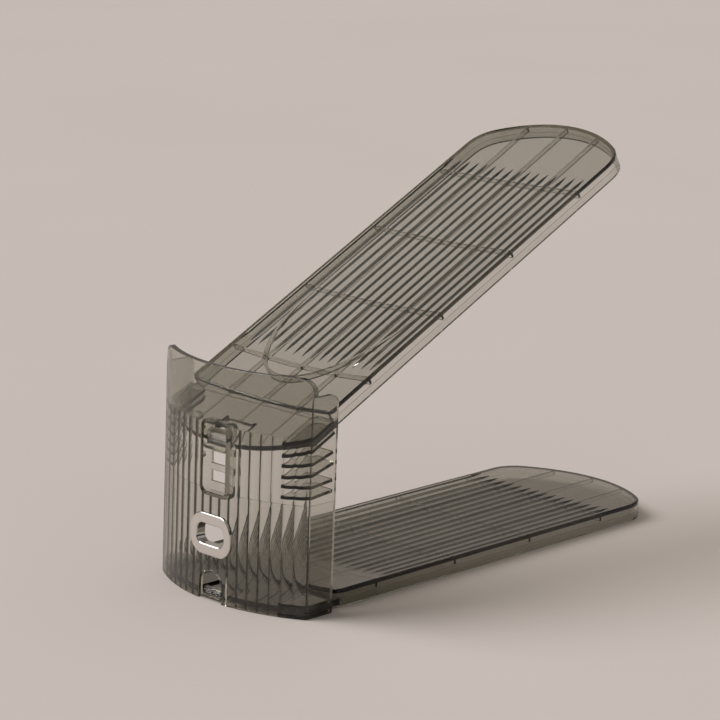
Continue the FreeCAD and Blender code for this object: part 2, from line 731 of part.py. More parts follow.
def build_ribs(body, tray):
    """Ribs under the floor that follow its cradle: four across and three along."""
    embedded = size("floor_thick") / 2
    bottom = size("floor_thick") + size("rib_depth")
    inside = size("tray_width") / 2 - size("skirt_thick") / 2
    for index in range(int(size("rib_count"))):
        rib_x = size(tray["first_rib"]) + index * size("rib_pitch")
        name = f"{body.Label}_rib_{index + 1}"
        sketch = new_sketch(body, f"{name}_section", "YZ_Plane", across(rib_x))
        upper = cradle_arc(sketch, tray, rib_x, inside, embedded)
        lower = cradle_arc(sketch, tray, rib_x, inside, bottom)
        for begin, finish in zip(upper, lower):
            sketch.addGeometry(Part.LineSegment(begin, finish))
        pad(body, sketch, name, "sizes.rib_thick")

    keel_side = int(size("keel_count")) // 2
    end_centre = tray["length"] - size("far_radius")
    near = size("skirt_thick") / 2
    for index in range(-keel_side, keel_side + 1):
        keel_y = index * size("keel_pitch")
        outer_edge = abs(keel_y) + size("rib_thick") / 2
        rim = end_centre + math.sqrt(size("far_radius") ** 2 - outer_edge**2) - size("skirt_thick") / 2
        name = f"{body.Label}_keel_{index + keel_side + 1}"
        sketch = new_sketch(body, f"{name}_section", "XZ_Plane", Placement(Vector(0, 0, -keel_y), Rotation()))
        closed_outline(
            sketch,
            [
                Vector(near, floor_level(tray, near, keel_y) - embedded, 0),
                Vector(rim, floor_level(tray, rim, keel_y) - embedded, 0),
                Vector(rim, floor_level(tray, rim, keel_y) - bottom, 0),
                Vector(near, floor_level(tray, near, keel_y) - bottom, 0),
            ],
        )
        pad(body, sketch, name, "sizes.rib_thick", both_ways=True)


def cut_flutes(body, tray):
    """Narrow flutes along the floor, each running out to a point at both ends."""
    radius = size("flute_radius")
    start = size(tray["first_rib"]) + size("flute_start")
    finish = size(tray["first_rib"]) + size("rib_pitch") * (size("rib_count") - 1) + size("flute_overrun")
    taper = size("flute_taper")
    tip = radius - 2 * size("flute_depth")
    count = int(size("flute_count"))
    for index in range(count):
        flute_y = (index - (count - 1) / 2) * size("reed_pitch")
        low = floor_level(tray, start, flute_y)
        rise = floor_level(tray, finish, flute_y) - low
        length = math.hypot(finish - start, rise)
        tilt = Rotation(UP, math.degrees(math.atan2(rise, finish - start)))
        offset = Placement(Vector(start, low + radius - size("flute_depth"), -flute_y), tilt)
        name = f"{body.Label}_flute_{index + 1}"
        sketch = new_sketch(body, f"{name}_section", "XZ_Plane", offset)
        closed_outline(
            sketch,
            [
                Vector(0, 0, 0),
                Vector(0, tip, 0),
                Vector(taper, radius, 0),
                Vector(length - taper, radius, 0),
                Vector(length, tip, 0),
                Vector(length, 0, 0),
            ],
        )
        document.recompute()
        volume_before = body.Shape.Volume
        groove = body.newObject("PartDesign::Groove", name)
        groove.Profile = sketch
        groove.ReferenceAxis = (sketch, ["H_Axis"])
        groove.Angle = 360.0
        document.recompute()
        if body.Shape.Volume >= volume_before:
            raise RuntimeError(f"{name} cuts nothing")


def build_heel_stop(body, tray):
    """Half-elliptical wall on the upper tray's floor, highest in front and running out to the rear."""
    centre_x = size("heel_near") + size("heel_long")
    centre = Vector(centre_x, 0, 0)
    quarter = math.pi / 2
    front_level = floor_level(tray, size("heel_near"))
    rear_level = floor_level(tray, centre_x, size("heel_half")) + size("heel_end")
    embedded = front_level - size("rest_gap")
    top = front_level + size("heel_tall")
    sketch = new_sketch(body, "heel_plan", bound=level_plane(f"{embedded}"))
    ends = []
    for grow in (0.0, -size("heel_thick")):
        long_axis = size("heel_long") + grow
        short_axis = size("heel_half") + grow
        curve = Part.Ellipse(centre, long_axis, short_axis)
        sketch.addGeometry(Part.ArcOfEllipse(curve, quarter, 3 * quarter))
        ends.append(short_axis)
    for side in (1, -1):
        outer_end = Vector(centre_x, side * ends[0], 0)
        sketch.addGeometry(Part.LineSegment(outer_end, Vector(centre_x, side * ends[1], 0)))
    pad(body, sketch, "heel_wall", f"{top - embedded}")

    margin = 1.0
    sketch = new_sketch(body, "heel_slope_view", "XZ_Plane")
    closed_outline(
        sketch,
        [
            Vector(size("heel_near"), top, 0),
            Vector(centre_x, rear_level, 0),
            Vector(centre_x + margin, rear_level, 0),
            Vector(centre_x + margin, top + margin, 0),
            Vector(size("heel_near"), top + margin, 0),
        ],
    )
    pocket(body, sketch, "heel_slope", "2 * sizes.heel_half + 2 * sizes.heel_thick", both_ways=True)


def build_tray(tray):
    """Tray with a cradled floor flush with its rim, a skirt, ribs, flutes and a tongue."""
    body = new_body(tray["label"])
    length = f"{tray['length']}"

    sketch = new_sketch(body, f"{body.Label}_plan")
    tray_outline(sketch, length, "0 * sizes.skirt_thick")
    pad(body, sketch, f"{body.Label}_block", "2 * sizes.tray_height")
    cradle = cut_cradle(body, tray, 0.0)
    floor = max(cradle.Shape.Faces, key=lambda face: face.CenterOfMass.z)
    rim_edges = []
    for index, edge in enumerate(cradle.Shape.Edges, start=1):
        if any(edge.isSame(rim_edge) for rim_edge in floor.Edges):
            rim_edges.append(f"Edge{index}")
    rounding = body.newObject("PartDesign::Fillet", f"{body.Label}_rim_round")
    rounding.Base = (cradle, rim_edges)
    rounding.setExpression("Radius", "sizes.edge_round")

    hollow = body.newObject("PartDesign::Boolean", f"{body.Label}_hollow")
    hollow.Type = "Cut"
    hollow.setObjects([build_core(tray)])
    body.Tip = hollow

    build_ribs(body, tray)
    build_tongue(body, tray)
    cut_flutes(body, tray)
    if tray["heel_stop"]:
        build_heel_stop(body, tray)
    place_on_level(body, tray)
    return body


# Press catches


def build_catch(label, tray, pad_half, pad_low, pad_high, face_front, face_rear, arm_front):
    """Springy arm in the tongue's gap that ends in a press pad with grip ribs over a lip.

    The three faces are plan distances behind the panel's front line.
    """
    body = new_body(label)
    to_corner = PANEL_FRONT - CORNER_X
    arm_low = size(tray["lift"])
    underside = level_plane(f"sizes.{tray['lift']}")
    arm_top = arm_low + size("catch_thick")
    arm_end = tray_x(tray, to_corner + arm_front, arm_top)
    pad_end = tray_x(tray, to_corner + face_rear, arm_low)
    root = f"-sizes.{tray['root']} - sizes.hinge_gap"

    sketch = new_sketch(body, f"{label}_arm_plan", bound=underside)
    rectangle(sketch, f"{arm_end}", root, "-sizes.catch_half", "sizes.catch_half")
    pad(body, sketch, f"{label}_arm", "sizes.catch_thick")
    sketch = new_sketch(body, f"{label}_neck_plan", bound=underside)
    rectangle(sketch, f"{pad_end - size('panel_thick')}", f"{arm_end}", f"-{pad_half}", f"{pad_half}")
    pad(body, sketch, f"{label}_neck", "sizes.catch_thick")

    def face_point(face, above):
        return Vector(tray_x(tray, to_corner + face, above), above, 0)

    sketch = new_sketch(body, f"{label}_pad_section", "XZ_Plane")
    closed_outline(
        sketch,
        [
            face_point(face_front, pad_low),
            face_point(face_rear, pad_low),
            face_point(face_rear, pad_high),
            face_point(face_front, pad_high),
        ],
    )
    pad(body, sketch, f"{label}_pad", f"2 * {pad_half}", both_ways=True)

    sketch = new_sketch(body, f"{label}_lip_section", "XZ_Plane")
    lip_front = face_front - size("lip_reach")
    lip_top = pad_low + size("lip_thick")
    closed_outline(
        sketch,
        [
            face_point(lip_front, pad_low),
            face_point(face_rear, pad_low),
            face_point(face_rear, lip_top),
            face_point(lip_front, lip_top),
        ],
    )
    pad(body, sketch, f"{label}_lip", f"2 * {pad_half}", both_ways=True)

    sketch = new_sketch(body, f"{label}_grip_section", "XZ_Plane")
    grip_count = 3
    for index in range(1, grip_count + 1):
        above = lip_top + (pad_high - lip_top) * index / (grip_count + 1)
        circle(sketch, face_point(face_front, above), "sizes.grip_radius")
    pad(body, sketch, f"{label}_grips", f"2 * {pad_half} - 2 * sizes.edge_round", both_ways=True)
    place_on_level(body, tray)
    return body


def build_ring():
    """Plated finger ring: a flat rounded face on the panel and a sleeve through it."""
    body = new_body("finger_ring")

    def section(sketch, width, tall, corner):
        rounded_rectangle(sketch, width, tall, corner, "sizes.ring_height")
        hole = ("sizes.ring_hole_width", "sizes.ring_hole_tall", "sizes.ring_hole_corner")
        rounded_rectangle(sketch, *hole, "sizes.ring_height")

    sketch = new_sketch(body, "ring_face_view", "YZ_Plane", lean_plane())
    sketch.setExpression("AttachmentOffset.Base.z", "-sizes.ring_proud - sizes.overall_length / 2")
    section(sketch, "sizes.ring_width", "sizes.ring_tall", "sizes.ring_corner")
    face = pad(body, sketch, "ring_face", "sizes.ring_proud + sizes.ring_seat - sizes.rest_gap")
    document.recompute()
    normal = Rotation(Y_AXIS, size("column_lean")).multVec(Vector(1, 0, 0))
    front = Vector(PANEL_FRONT, 0, 0).dot(normal) - size("ring_proud")
    front_edges = []
    for index, edge in enumerate(face.Shape.Edges, start=1):
        if all(abs(vertex.Point.dot(normal) - front) < 1e-3 for vertex in edge.Vertexes):
            front_edges.append(f"Edge{index}")
    rounding = body.newObject("PartDesign::Fillet", "ring_face_round")
    rounding.Base = (face, front_edges)
    rounding.setExpression("Radius", "sizes.edge_round")

    sketch = new_sketch(body, "ring_sleeve_view", "YZ_Plane", lean_plane())
    section(
        sketch,
        "(sizes.ring_hole_width + 2 * sizes.ring_wall)",
        "(sizes.ring_hole_tall + 2 * sizes.ring_wall)",
        "sizes.ring_hole_corner + sizes.ring_wall",
    )
    pad(body, sketch, "ring_sleeve", "sizes.ring_sleeve")
    return body


# The notch takes the panel's middle away at the floor, so the object's front ends at the notch's sides.
front_end = arc_x(size("panel_radius"), size("notch_width") / 2)
BASE = {
    "label": "base_tray",
    "level": "base_level",
    "slope": "base_slope",
    "lift": "base_lift",
    "setback": "base_setback",
    "first_rib": "base_first_rib",
    "root": "base_catch_root",
    "length": -front_end - corner_at(size("base_level")) - size("base_setback"),
    "heel_stop": False,
}
RAMP = {
    "label": "upper_tray",
    "level": "top_level",
    "slope": "top_slope",
    "lift": "ramp_lift",
    "setback": "ramp_setback",
    "first_rib": "ramp_first_rib",
    "root": "catch_root",
    "length": size("ramp_length"),
    "heel_stop": True,
}

sub_parts = [
    build_column(),
    build_ring(),
    build_tray(BASE),
    build_catch(
        "base_catch",
        BASE,
        pad_half=size("base_pad_half"),
        pad_low=size("base_pad_low"),
        pad_high=size("base_pad_low") + size("base_pad_tall"),
        face_front=size("base_pad_recess") + size("lip_reach"),
        face_rear=size("base_pad_recess") + size("lip_reach") + size("panel_thick"),
        arm_front=size("panel_thick") + size("seam_step") + size("slide_gap"),
    ),
    build_tray(RAMP),
    build_catch(
        "tray_catch",
        RAMP,
        pad_half=size("catch_pad_half"),
        pad_low=size("catch_pad_low"),
        pad_high=size("catch_pad_low") + size("catch_pad_tall"),
        face_front=size("catch_pad_recess"),
        face_rear=size("pocket_depth") - size("slide_gap") / 2,
        arm_front=size("pocket_depth") + size("pocket_wall") + size("slide_gap"),
    ),
]
document.recompute()

for item in document.Objects:
    if "Invalid" in item.State or "Error" in item.State:
        raise RuntimeError(f"{item.Label} failed: {item.State}")
os.makedirs("parts", exist_ok=True)
for sub_part in sub_parts:
    shape = sub_part.Shape
    if shape.isNull() or not shape.isValid() or len(shape.Solids) != 1:
        raise RuntimeError(f"{sub_part.Label} is not one valid solid")
    shape.exportStep(f"parts/{sub_part.Label}.step")
    print(sub_part.Label, round(shape.Volume), shape.BoundBox)
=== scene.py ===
"""Looks of a shoe slot organizer in smoke plastic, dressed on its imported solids.

Every length is in metres, in the frame of the solids: +X from the column to the far end, +Z up.
"""

import logging
import math
from dataclasses import dataclass
from enum import Enum
from typing import Optional

import bmesh
import bpy
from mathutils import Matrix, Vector

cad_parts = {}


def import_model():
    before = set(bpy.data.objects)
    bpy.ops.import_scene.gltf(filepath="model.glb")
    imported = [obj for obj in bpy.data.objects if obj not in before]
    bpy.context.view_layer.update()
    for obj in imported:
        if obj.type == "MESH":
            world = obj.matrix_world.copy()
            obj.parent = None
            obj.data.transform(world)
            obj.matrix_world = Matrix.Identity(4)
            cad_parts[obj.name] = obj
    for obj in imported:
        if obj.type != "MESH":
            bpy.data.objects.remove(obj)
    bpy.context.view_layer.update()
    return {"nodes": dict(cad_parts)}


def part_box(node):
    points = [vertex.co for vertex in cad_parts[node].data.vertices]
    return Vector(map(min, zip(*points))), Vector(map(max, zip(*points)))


LOG = logging.getLogger("shoe_slot_organizer")
Colour = tuple[float, float, float]
Point = tuple[float, float, float]
Range = tuple[float, float]
Nodes = dict[str, bpy.types.Object]
Socket = bpy.types.NodeSocket
Inputs = dict[str | int, object]
VALUE_SOCKET = "NodeSocketFloat"
MM_PER_METRE = 1000.0


class Slot(Enum):
    """Material slots of the part's record."""

    SMOKE_PLASTIC = "smoke_plastic"
    PLATED_RING = "plated_ring"


class Effect(Enum):
    """Surface effects that several finishes share."""

    MOULD_FLOW = "mould_flow"
    FINE_SCUFFS = "fine_scuffs"
    SETTLED_DUST = "settled_dust"


class Blend(Enum):
    """What a blend works on."""

    COLOUR = "RGBA"
    VECTOR = "VECTOR"


class Easing(Enum):
    """How a value runs from one end of a range to the other."""

    STRAIGHT = "LINEAR"
    SMOOTH = "SMOOTHSTEP"


def opaque(colour: Colour) -> tuple[float, float, float, float]:
    """Add full opacity to a colour.

    Args:
        colour: Red, green and blue.

    Returns:
        The colour with a fourth value of 1.
    """
    return (*colour, 1.0)


@dataclass
class NodeSheet:
    """Adds nodes to one node tree and joins them."""

    tree: bpy.types.NodeTree

    def add(self, kind: str, inputs: Optional[Inputs] = None, **settings: object) -> bpy.types.Node:
        """Add a node and fill its sockets.

        Args:
            kind: Type of the node.
            inputs: Socket name or index to a plain value or to another node's output.
            settings: Properties of the node itself.

        Returns:
            The new node.
        """
        node = self.tree.nodes.new(kind)
        for name, value in settings.items():
            setattr(node, name, value)
        self.fill(node, inputs or {})
        return node

    def fill(self, node: bpy.types.Node, inputs: Inputs) -> None:
        """Fill sockets of a node.

        Args:
            node: The node.
            inputs: Socket name or index to a plain value or to another node's output.
        """
        for key, value in inputs.items():
            if isinstance(value, Socket):
                self.tree.links.new(value, node.inputs[key])
            else:
                node.inputs[key].default_value = value

    def math(self, operation: str, first: object, second: object = 0.0) -> Socket:
        """Combine two values.

        Args:
            operation: Name of the operation.
            first: Value or output socket.
            second: Value or output socket.

        Returns:
            The result's socket.
        """
        return self.add("ShaderNodeMath", {0: first, 1: second}, operation=operation).outputs[0]

    def stretched(self, place: Socket, factors: Inputs) -> Socket:
        """Stretch a place along the three axes.

        Args:
            place: Socket of the place.
            factors: Values or sockets for X, Y and Z.

        Returns:
            The stretched place's socket.
        """
        scale = self.add("ShaderNodeCombineXYZ", factors)
        node = self.add("ShaderNodeVectorMath", {0: place, 1: scale.outputs[0]}, operation="MULTIPLY")
        return node.outputs[0]

    def noise(self, place: Socket, scale: object, detail: float, roughness: float = 0.5) -> Socket:
        """Soft noise from 0 to 1.

        Args:
            place: Socket of the place.
            scale: Value or socket.
            detail: How many finer layers it has.
            roughness: How strong the finer layers are.

        Returns:
            The noise's socket.
        """
        settings = {"Vector": place, "Scale": scale, "Detail": detail, "Roughness": roughness}
        return self.add("ShaderNodeTexNoise", settings).outputs["Fac"]

    def remap(
        self,
        value: Socket,
        source: Range = (0.0, 1.0),
        target: Range = (0.0, 1.0),
        easing: Easing = Easing.STRAIGHT,
    ) -> Socket:
        """Carry a value from one range to another and hold it at both ends.

        Args:
            value: Output that varies.
            source: Range that it comes from.
            target: Range that it goes to.
            easing: How it runs between the ends.

        Returns:
            The result's socket.
        """
        limits = {
            "Value": value,
            "From Min": source[0],
            "From Max": source[1],
            "To Min": target[0],
            "To Max": target[1],
        }
        node = self.add("ShaderNodeMapRange", limits, interpolation_type=easing.value)
        return node.outputs["Result"]

    def mix(self, blend: Blend, mask: Socket, low: object, high: object) -> Socket:
        """Blend two colours or two vectors by a mask.

        Args:
            blend: What is blended.
            mask: Output that varies from 0 to 1.
            low: Value or socket where the mask is 0.
            high: Value or socket where the mask is 1.

        Returns:
            The blend's socket.
        """
        ends = {"Factor": mask, "A": low, "B": high}
        return self.add("ShaderNodeMix", ends, data_type=blend.value).outputs["Result"]

    def two_tone(self, mask: Socket, low: Colour, high: Colour) -> Socket:
        """Blend two plain colours by a mask.

        Args:
            mask: Output that varies over the surface.
            low: Colour where the mask is 0.
            high: Colour where the mask is 1.

        Returns:
            The colour's socket.
        """
        return self.mix(Blend.COLOUR, mask, opaque(low), opaque(high))


def new_group(
    effect: Effect, inputs: dict[str, float], outputs: list[str]
) -> tuple[NodeSheet, bpy.types.Node, bpy.types.Node]:
    """Start a node group with named sockets.

    Args:
        effect: Which effect the group holds.
        inputs: Input names with their first values.
        outputs: Output names.

    Returns:
        The group's sheet, its input node and its output node.
    """
    tree = bpy.data.node_groups.new(effect.value, "ShaderNodeTree")
    for name, value in inputs.items():
        socket = tree.interface.new_socket(name, in_out="INPUT", socket_type=VALUE_SOCKET)
        socket.default_value = value
    for name in outputs:
        tree.interface.new_socket(name, in_out="OUTPUT", socket_type=VALUE_SOCKET)
    sheet = NodeSheet(tree)
    return sheet, sheet.add("NodeGroupInput"), sheet.add("NodeGroupOutput")


@dataclass(frozen=True)
class MouldFlow:
    """Slow waves and cloudy haze that the melt leaves in a moulded or cast surface."""

    wave_scale: float = 40.0
    stretch: float = 1.0
    wave_detail: float = 1.5
    wave_roughness: float = 0.4
    cloud_ratio: float = 2.6
    cloud_detail: float = 5.0

    def build(self) -> bpy.types.NodeTree:
        """Make the group.

        Returns:
            The group, with inputs Wave Scale and Stretch and outputs Haze and Height.
        """
        sheet, given, result = new_group(
            Effect.MOULD_FLOW,
            {"Wave Scale": self.wave_scale, "Stretch": self.stretch},
            ["Haze", "Height"],
        )
        scale = given.outputs["Wave Scale"]
        place = sheet.add("ShaderNodeTexCoord").outputs["Object"]
        run = sheet.stretched(place, {"X": given.outputs["Stretch"], "Y": 1.0, "Z": 1.0})
        wave = sheet.noise(run, scale, self.wave_detail, self.wave_roughness)
        cloud = sheet.noise(place, sheet.math("MULTIPLY", scale, self.cloud_ratio), self.cloud_detail)
        sheet.fill(result, {"Haze": cloud, "Height": wave})
        return sheet.tree


@dataclass(frozen=True)
class FineScuffs:
    """Hair-thin marks of handling, long in one direction and broken up."""

    scale: float = 300.0
    amount: float = 0.3
    along: float = 0.06
    turns: tuple[float, float] = (0.5, -0.8)
    roll_share: float = 0.3
    pitch: float = 0.2
    height_share: float = 0.7
    mark_detail: float = 2.0
    mark_level: float = 0.5
    mark_width: float = 0.018
    patch_scale: float = 55.0
    patch_detail: float = 2.0
    patch_fade: Range = (0.45, 0.7)

    def build(self) -> bpy.types.NodeTree:
        """Make the group.

        Returns:
            The group, with inputs Scale, Amount and Along and output Mask.
        """
        sheet, given, result = new_group(
            Effect.FINE_SCUFFS,
            {"Scale": self.scale, "Amount": self.amount, "Along": self.along},
            ["Mask"],
        )
        place = sheet.add("ShaderNodeTexCoord").outputs["Object"]
        first, second = (self.marks(sheet, given, place, turn) for turn in self.turns)
        patch = sheet.noise(place, self.patch_scale, self.patch_detail)
        marks = sheet.math("MAXIMUM", first, second)
        broken = sheet.math("MULTIPLY", marks, sheet.remap(patch, self.patch_fade))
        sheet.fill(result, {"Mask": sheet.math("MULTIPLY", broken, given.outputs["Amount"])})
        return sheet.tree

    def marks(self, sheet: NodeSheet, given: bpy.types.Node, place: Socket, turn: float) -> Socket:
        """Marks that run in one direction.

        Args:
            sheet: The group's sheet.
            given: The group's input node.
            place: Socket of the place on the object.
            turn: Direction of the marks, in radians.

        Returns:
            The marks' socket, 1 in the middle of a mark.
        """
        rotation = (self.roll_share * turn, self.pitch, turn)
        turned = sheet.add("ShaderNodeMapping", {"Vector": place, "Rotation": rotation}).outputs[0]
        drawn = sheet.stretched(turned, {"X": given.outputs["Along"], "Y": 1.0, "Z": self.height_share})
        noise = sheet.noise(drawn, given.outputs["Scale"], self.mark_detail)
        line = sheet.math("ABSOLUTE", sheet.math("SUBTRACT", noise, self.mark_level))
        return sheet.remap(line, (0.0, self.mark_width), (1.0, 0.0))


@dataclass(frozen=True)
class SettledDust:
    """Fine specks that lie on faces that look up."""

    scale: float = 1500.0
    amount: float = 0.3
    speck_fade: Range = (0.05, 0.22)
    patch_scale: float = 90.0
    patch_detail: float = 3.0
    patch_fade: Range = (0.5, 0.75)
    upward_fade: Range = (0.2, 0.9)

    def build(self) -> bpy.types.NodeTree:
        """Make the group.

        Returns:
            The group, with inputs Scale and Amount and output Mask.
        """
        sheet, given, result = new_group(
            Effect.SETTLED_DUST, {"Scale": self.scale, "Amount": self.amount}, ["Mask"]
        )
        place = sheet.add("ShaderNodeTexCoord").outputs["Object"]
        specks = sheet.add("ShaderNodeTexVoronoi", {"Vector": place, "Scale": given.outputs["Scale"]})
        dots = sheet.remap(specks.outputs["Distance"], self.speck_fade, (1.0, 0.0))
        patch = sheet.remap(sheet.noise(place, self.patch_scale, self.patch_detail), self.patch_fade)
        normal = sheet.add("ShaderNodeNewGeometry").outputs["Normal"]
        upward = sheet.add("ShaderNodeSeparateXYZ", {0: normal}).outputs["Z"]
        fallen = sheet.math("MULTIPLY", dots, patch)
        lying = sheet.math("MULTIPLY", fallen, sheet.remap(upward, self.upward_fade))
        sheet.fill(result, {"Mask": sheet.math("MULTIPLY", lying, given.outputs["Amount"])})
        return sheet.tree


class SurfaceEffects:
    """The shared node groups, each built once."""

    def __init__(self) -> None:
        """Build every group."""
        self.groups = {
            Effect.MOULD_FLOW: MouldFlow().build(),
            Effect.FINE_SCUFFS: FineScuffs().build(),
            Effect.SETTLED_DUST: SettledDust().build(),
        }

    def place(self, sheet: NodeSheet, effect: Effect, inputs: dict[str, float]) -> bpy.types.Node:
        """Put a shared effect into a material.

        Args:
            sheet: The material's sheet.
            effect: Which effect.
            inputs: Its values there.

        Returns:
            The group node.
        """
        return sheet.add("ShaderNodeGroup", inputs, node_tree=self.groups[effect])


def new_material(name: str) -> tuple[bpy.types.Material, NodeSheet]:
    """Start an empty material.

    Args:
        name: Name of the finish.

    Returns:
        The material and the sheet of its nodes.
    """
    material = bpy.data.materials.new(name)
    material.use_nodes = True
    material.node_tree.nodes.clear()
    return material, NodeSheet(material.node_tree)


@dataclass(frozen=True)
class SmokePlastic:
    """Clear smoke grey plastic, tinted through its thickness and polished on its faces.

    Its edges look rounded above the height round_from, and sharp below it.
    """

    name: str
    absorbed_density: float = 208.0
    absorbed_colour: Colour = (0.27, 0.245, 0.10)
    shadow_colour: Colour = (0.78, 0.775, 0.76)
    hazy_tint: Colour = (0.95, 0.952, 0.945)
    clear_tint: Colour = (1.0, 1.0, 1.0)
    refraction: float = 1.49
    gloss: float = 0.02
    worn_gloss: float = 0.22
    cloud_share: float = 0.25
    wave_scale: float = 40.0
    wave_stretch: float = 1.0
    wave_height: float = 0.00002
    scuff_amount: float = 0.3
    dust_amount: float = 0.3
    edge_round: float = 0.0003
    edge_samples: int = 4
    round_from: float = -1.0

    def build(self, effects: SurfaceEffects) -> bpy.types.Material:
        """Make the material.

        Args:
            effects: The shared effects.

        Returns:
            The finished material.
        """
        material, sheet = new_material(self.name)
        flow = effects.place(
            sheet, Effect.MOULD_FLOW, {"Wave Scale": self.wave_scale, "Stretch": self.wave_stretch}
        )
        bump = sheet.add(
            "ShaderNodeBump",
            {
                "Strength": 1.0,
                "Distance": self.wave_height,
                "Height": flow.outputs["Height"],
                "Normal": self.edge_normal(sheet),
            },
        )
        shader = sheet.add(
            "ShaderNodeBsdfPrincipled",
            {
                "Base Color": sheet.two_tone(flow.outputs["Haze"], self.hazy_tint, self.clear_tint),
                "Roughness": self.roughness(sheet, effects, flow.outputs["Haze"]),
                "IOR": self.refraction,
                "Transmission Weight": 1.0,
                "Normal": bump.outputs["Normal"],
            },
        )
        see_through = sheet.add("ShaderNodeBsdfTransparent", {"Color": opaque(self.shadow_colour)})
        in_shadow = sheet.add("ShaderNodeLightPath").outputs["Is Shadow Ray"]
        surface = sheet.add(
            "ShaderNodeMixShader", {0: in_shadow, 1: shader.outputs[0], 2: see_through.outputs[0]}
        )
        tint = sheet.add(
            "ShaderNodeVolumeAbsorption",
            {"Color": opaque(self.absorbed_colour), "Density": self.absorbed_density},
        )
        sheet.add("ShaderNodeOutputMaterial", {"Surface": surface.outputs[0], "Volume": tint.outputs[0]})
        return material

    def roughness(self, sheet: NodeSheet, effects: SurfaceEffects, haze: Socket) -> Socket:
        """Dull the polish by scuffs, dust and haze.

        Args:
            sheet: The material's sheet.
            effects: The shared effects.
            haze: Socket of the cloudy haze.

        Returns:
            The roughness's socket.
        """
        scuffs = effects.place(sheet, Effect.FINE_SCUFFS, {"Amount": self.scuff_amount})
        dust = effects.place(sheet, Effect.SETTLED_DUST, {"Amount": self.dust_amount})
        worn = sheet.math("MAXIMUM", scuffs.outputs["Mask"], dust.outputs["Mask"])
        cloudy = sheet.math("MULTIPLY", haze, self.cloud_share)
        dull = sheet.math("MAXIMUM", worn, cloudy)
        return sheet.remap(dull, target=(self.gloss, self.worn_gloss))

    def edge_normal(self, sheet: NodeSheet) -> Socket:
        """Round the look of the edges above a height.

        Args:
            sheet: The material's sheet.

        Returns:
            The normal's socket.
        """
        rounded = sheet.add("ShaderNodeBevel", {"Radius": self.edge_round}, samples=self.edge_samples)
        place = sheet.add("ShaderNodeTexCoord").outputs["Object"]
        height = sheet.add("ShaderNodeSeparateXYZ", {0: place}).outputs["Z"]
        above = sheet.math("GREATER_THAN", height, self.round_from)
        plain = sheet.add("ShaderNodeNewGeometry").outputs["Normal"]
        return sheet.mix(Blend.VECTOR, above, plain, rounded.outputs["Normal"])


@dataclass(frozen=True)
class PlatedMetal:
    """Bright plating with the fine marks of polishing."""

    name: str
    colour: Colour = (0.72, 0.69, 0.65)
    worn_colour: Colour = (0.62, 0.59, 0.55)
    gloss: float = 0.15
    worn_gloss: float = 0.32
    haze_share: float = 0.3
    wave_scale: float = 160.0
    wave_height: float = 0.000006
    scuff_scale: float = 700.0
    scuff_amount: float = 0.6
    scuff_along: float = 0.04
    edge_round: float = 0.00014
    edge_samples: int = 4

    def build(self, effects: SurfaceEffects) -> bpy.types.Material:
        """Make the material.

        Args:
            effects: The shared effects.

        Returns:
            The finished material.
        """
        material, sheet = new_material(self.name)
        flow = effects.place(sheet, Effect.MOULD_FLOW, {"Wave Scale": self.wave_scale})
        scuffs = effects.place(
            sheet,
            Effect.FINE_SCUFFS,
            {"Scale": self.scuff_scale, "Amount": self.scuff_amount, "Along": self.scuff_along},
        )
        hazy = sheet.math("MULTIPLY", flow.outputs["Haze"], self.haze_share)
        worn = sheet.math("MAXIMUM", scuffs.outputs["Mask"], hazy)
        rounded = sheet.add("ShaderNodeBevel", {"Radius": self.edge_round}, samples=self.edge_samples)
        bump = sheet.add(
            "ShaderNodeBump",
            {
                "Strength": 1.0,
                "Distance": self.wave_height,
                "Height": flow.outputs["Height"],
                "Normal": rounded.outputs["Normal"],
            },
        )
        shader = sheet.add(
            "ShaderNodeBsdfPrincipled",
            {
                "Base Color": sheet.two_tone(worn, self.colour, self.worn_colour),
                "Metallic": 1.0,
                "Roughness": sheet.remap(worn, target=(self.gloss, self.worn_gloss)),
                "Normal": bump.outputs["Normal"],
            },
        )
        sheet.add("ShaderNodeOutputMaterial", {"Surface": shader.outputs[0]})
        return material


@dataclass(frozen=True)
class StudioPaper:
    """Matt warm grey paper with a faint mottle."""

    name: str
    colour: Colour = (0.665, 0.592, 0.55)
    dark_colour: Colour = (0.637, 0.564, 0.522)
    mottle_scale: float = 3.0
    roughness: Range = (0.6, 0.75)
    shine: float = 0.2

    def build(self, effects: SurfaceEffects) -> bpy.types.Material:
        """Make the material.

        Args:
            effects: The shared effects.

        Returns:
            The finished material.
        """
        material, sheet = new_material(self.name)
        flow = effects.place(sheet, Effect.MOULD_FLOW, {"Wave Scale": self.mottle_scale})
        shader = sheet.add(
            "ShaderNodeBsdfPrincipled",
            {
                "Base Color": sheet.two_tone(flow.outputs["Height"], self.dark_colour, self.colour),
                "Roughness": sheet.remap(flow.outputs["Haze"], target=self.roughness),
                "Specular IOR Level": self.shine,
            },
        )
        sheet.add("ShaderNodeOutputMaterial", {"Surface": shader.outputs[0]})
        return material


def dress_node(nodes: Nodes, node: str, material: bpy.types.Material) -> None:
    """Give a solid its material.

    Args:
        nodes: The solids by name.
        node: Which one.
        material: The finished material.
    """
    piece = nodes[node]
    piece.data.materials.clear()
    piece.data.materials.append(material)
    low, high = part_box(node)
    LOG.info("%s dressed in %s, %.0f mm long", node, material.name, MM_PER_METRE * (high - low).x)


